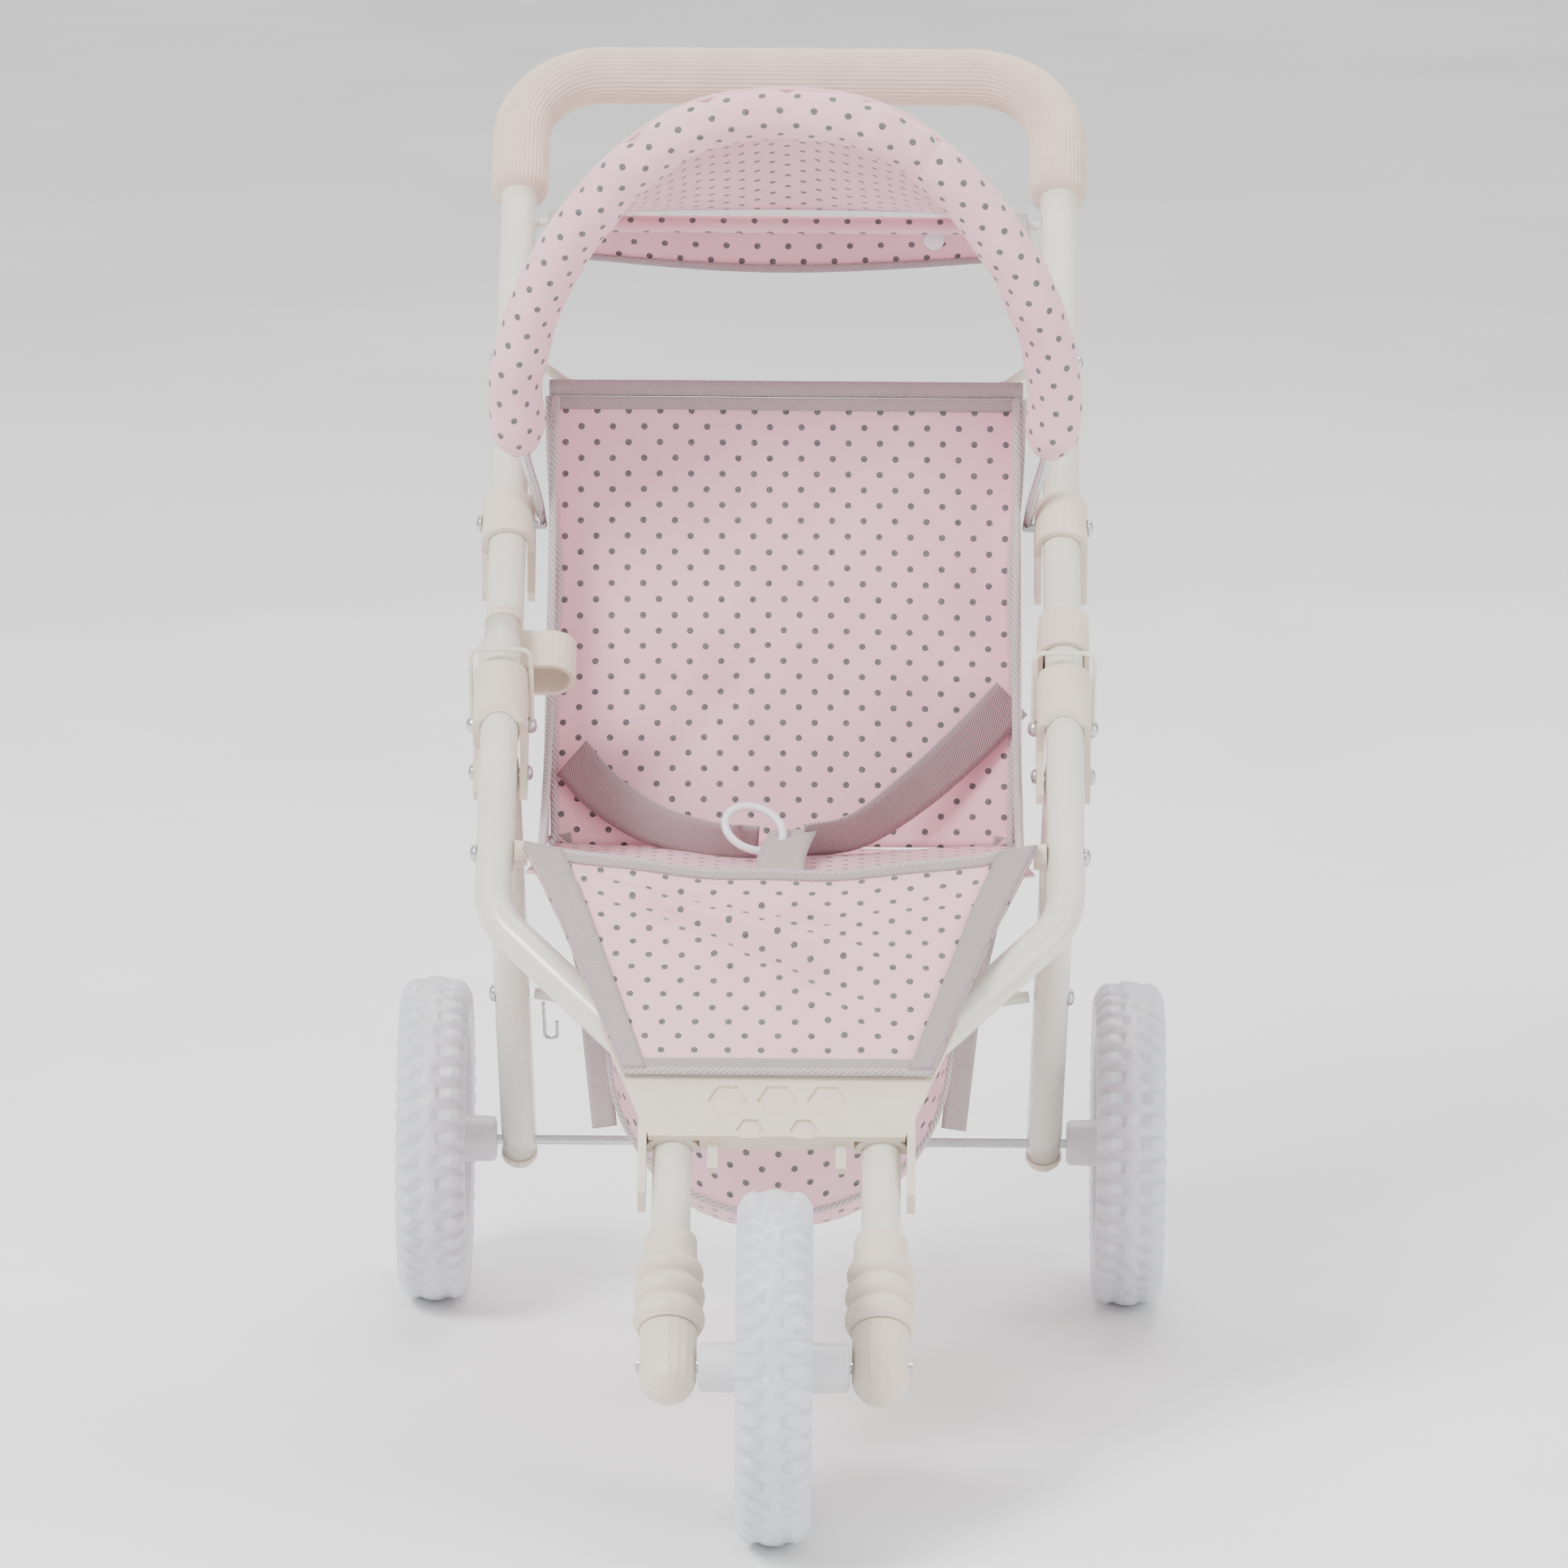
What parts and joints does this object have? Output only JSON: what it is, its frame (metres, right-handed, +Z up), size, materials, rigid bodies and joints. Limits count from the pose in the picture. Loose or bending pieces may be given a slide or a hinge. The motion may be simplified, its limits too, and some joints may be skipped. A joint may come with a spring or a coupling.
{
  "type": "doll stroller",
  "caption": "Folding three-wheel doll stroller with dotted fabric seat, arched canopy, basket and foam-covered push handle.",
  "frame": {"origin": "centre of the ground footprint, at the bottom of the wheels", "axes": "+Z up, +Y towards the push handle, front wheel towards -Y, X across"},
  "size_m": [0.4016, 0.7252, 0.6543],
  "materials": {
    "cream_paint": "gloss",
    "cream_plastic": "satin",
    "white_plastic": "gloss",
    "grip_foam": "matte",
    "tyre": "satin",
    "wheel_hub": "satin",
    "dotted_fabric": "matte",
    "webbing": "matte",
    "zinc_steel": "satin"
  },
  "bodies": {
    "frame": {"lower_tube_left": "cream_paint", "lower_tube_right": "cream_paint", "tube_plug_left": "cream_plastic", "tube_plug_right": "cream_plastic", "fork_boot_left": "cream_plastic", "fork_boot_right": "cream_plastic", "fork_cap_left": "cream_plastic", "fork_cap_right": "cream_plastic", "front_axle": "zinc_steel", "footrest_plate": "cream_plastic", "lower_bracket_left": "cream_plastic", "lower_bracket_right": "cream_plastic", "handle_pin_left": "zinc_steel", "handle_pin_right": "zinc_steel", "leg_pin_left": "zinc_steel", "leg_pin_right": "zinc_steel", "seat_boss_left": "cream_plastic", "seat_boss_right": "cream_plastic", "seat_base": "dotted_fabric", "seat_side_left": "dotted_fabric", "seat_side_right": "dotted_fabric", "leg_panel": "dotted_fabric", "harness_left": "webbing", "harness_right": "webbing", "crotch_strap": "webbing", "harness_ring": "white_plastic", "basket": "dotted_fabric"},
    "handle": {"canopy_bracket_left": "cream_plastic", "canopy_bracket_right": "cream_plastic", "handle_tube": "cream_paint", "handle_grip": "grip_foam", "canopy_rod": "cream_paint", "backrest_rod": "cream_paint", "hoop_pin_left": "zinc_steel", "hoop_pin_right": "zinc_steel", "backrest_panel": "dotted_fabric", "canopy_fabric": "dotted_fabric", "canopy_valance": "dotted_fabric"},
    "hoop": {"canopy_hoop": "zinc_steel", "canopy_sleeve": "dotted_fabric"},
    "left_clip": {"clip_left": "cream_plastic"},
    "right_clip": {"clip_right": "cream_plastic"},
    "left_bail": {"bail_left": "cream_paint"},
    "right_bail": {"bail_right": "cream_paint"},
    "rear_legs": {"rear_leg_left": "cream_paint", "rear_leg_right": "cream_paint", "leg_cap_left": "cream_plastic", "leg_cap_right": "cream_plastic", "axle_nut_left": "zinc_steel", "axle_nut_right": "zinc_steel", "rear_axle": "zinc_steel", "brace_bar": "cream_paint"},
    "hook": {"fold_hook": "zinc_steel"},
    "left_wheel": {"rear_wheel_left_tyre": "tyre", "rear_wheel_left_hub": "wheel_hub"},
    "right_wheel": {"rear_wheel_right_tyre": "tyre", "rear_wheel_right_hub": "wheel_hub"},
    "nose_wheel": {"front_wheel_tyre": "tyre", "front_wheel_hub": "wheel_hub"}
  },
  "joints": [
    {"name": "handle_fold", "type": "hinge", "parent": "frame", "child": "handle", "pos_m": [0, 0.04015, 0.33265], "axis": [1, 0, 0], "range_deg": [-95, 0], "deforming": ["backrest_panel", "seat_side_left", "seat_side_right"]},
    {"name": "rear_leg_fold", "type": "hinge", "parent": "frame", "child": "rear_legs", "pos_m": [0, 0.02747, 0.31075], "axis": [1, 0, 0], "range_deg": [-57, 0], "deforming": ["basket"]},
    {"name": "canopy_fold", "type": "hinge", "parent": "handle", "child": "hoop", "pos_m": [0, 0.13178, 0.41913], "axis": [1, 0, 0], "range_deg": [-36, 0], "deforming": ["canopy_fabric"]},
    {"name": "left_clip_turn", "type": "hinge", "parent": "handle", "child": "left_clip", "pos_m": [-0.1415, 0.04015, 0.33265], "axis": [0, 0.7273, 0.6863], "range_deg": [-90, 0], "deforming": ["clip_left"]},
    {"name": "right_clip_turn", "type": "hinge", "parent": "handle", "child": "right_clip", "pos_m": [0.1415, 0.04015, 0.33265], "axis": [0, 0.7273, 0.6863], "range_deg": [-90, 0], "deforming": ["clip_right"]},
    {"name": "left_bail_swing", "type": "hinge", "parent": "frame", "child": "left_bail", "pos_m": [-0.1415, 0.04015, 0.33265], "axis": [1, 0, 0], "range_deg": [0, 55]},
    {"name": "right_bail_swing", "type": "hinge", "parent": "frame", "child": "right_bail", "pos_m": [0.1415, 0.04015, 0.33265], "axis": [1, 0, 0], "range_deg": [0, 55]},
    {"name": "hook_swing", "type": "hinge", "parent": "rear_legs", "child": "hook", "pos_m": [-0.1225, 0.11411, 0.17863], "axis": [1, 0, 0], "range_deg": [-60, 60]},
    {"name": "left_wheel_spin", "type": "hinge", "parent": "rear_legs", "child": "left_wheel", "pos_m": [-0.181, 0.1755, 0.085], "axis": [1, 0, 0], "continuous": true},
    {"name": "right_wheel_spin", "type": "hinge", "parent": "rear_legs", "child": "right_wheel", "pos_m": [0.181, 0.1755, 0.085], "axis": [1, 0, 0], "continuous": true},
    {"name": "nose_wheel_spin", "type": "hinge", "parent": "frame", "child": "nose_wheel", "pos_m": [0, -0.2775, 0.085], "axis": [1, 0, 0], "continuous": true}
  ],
  "couplings": [
    {"joint": "rear_leg_fold", "follows": "handle_fold", "ratio": 0.6}
  ]
}
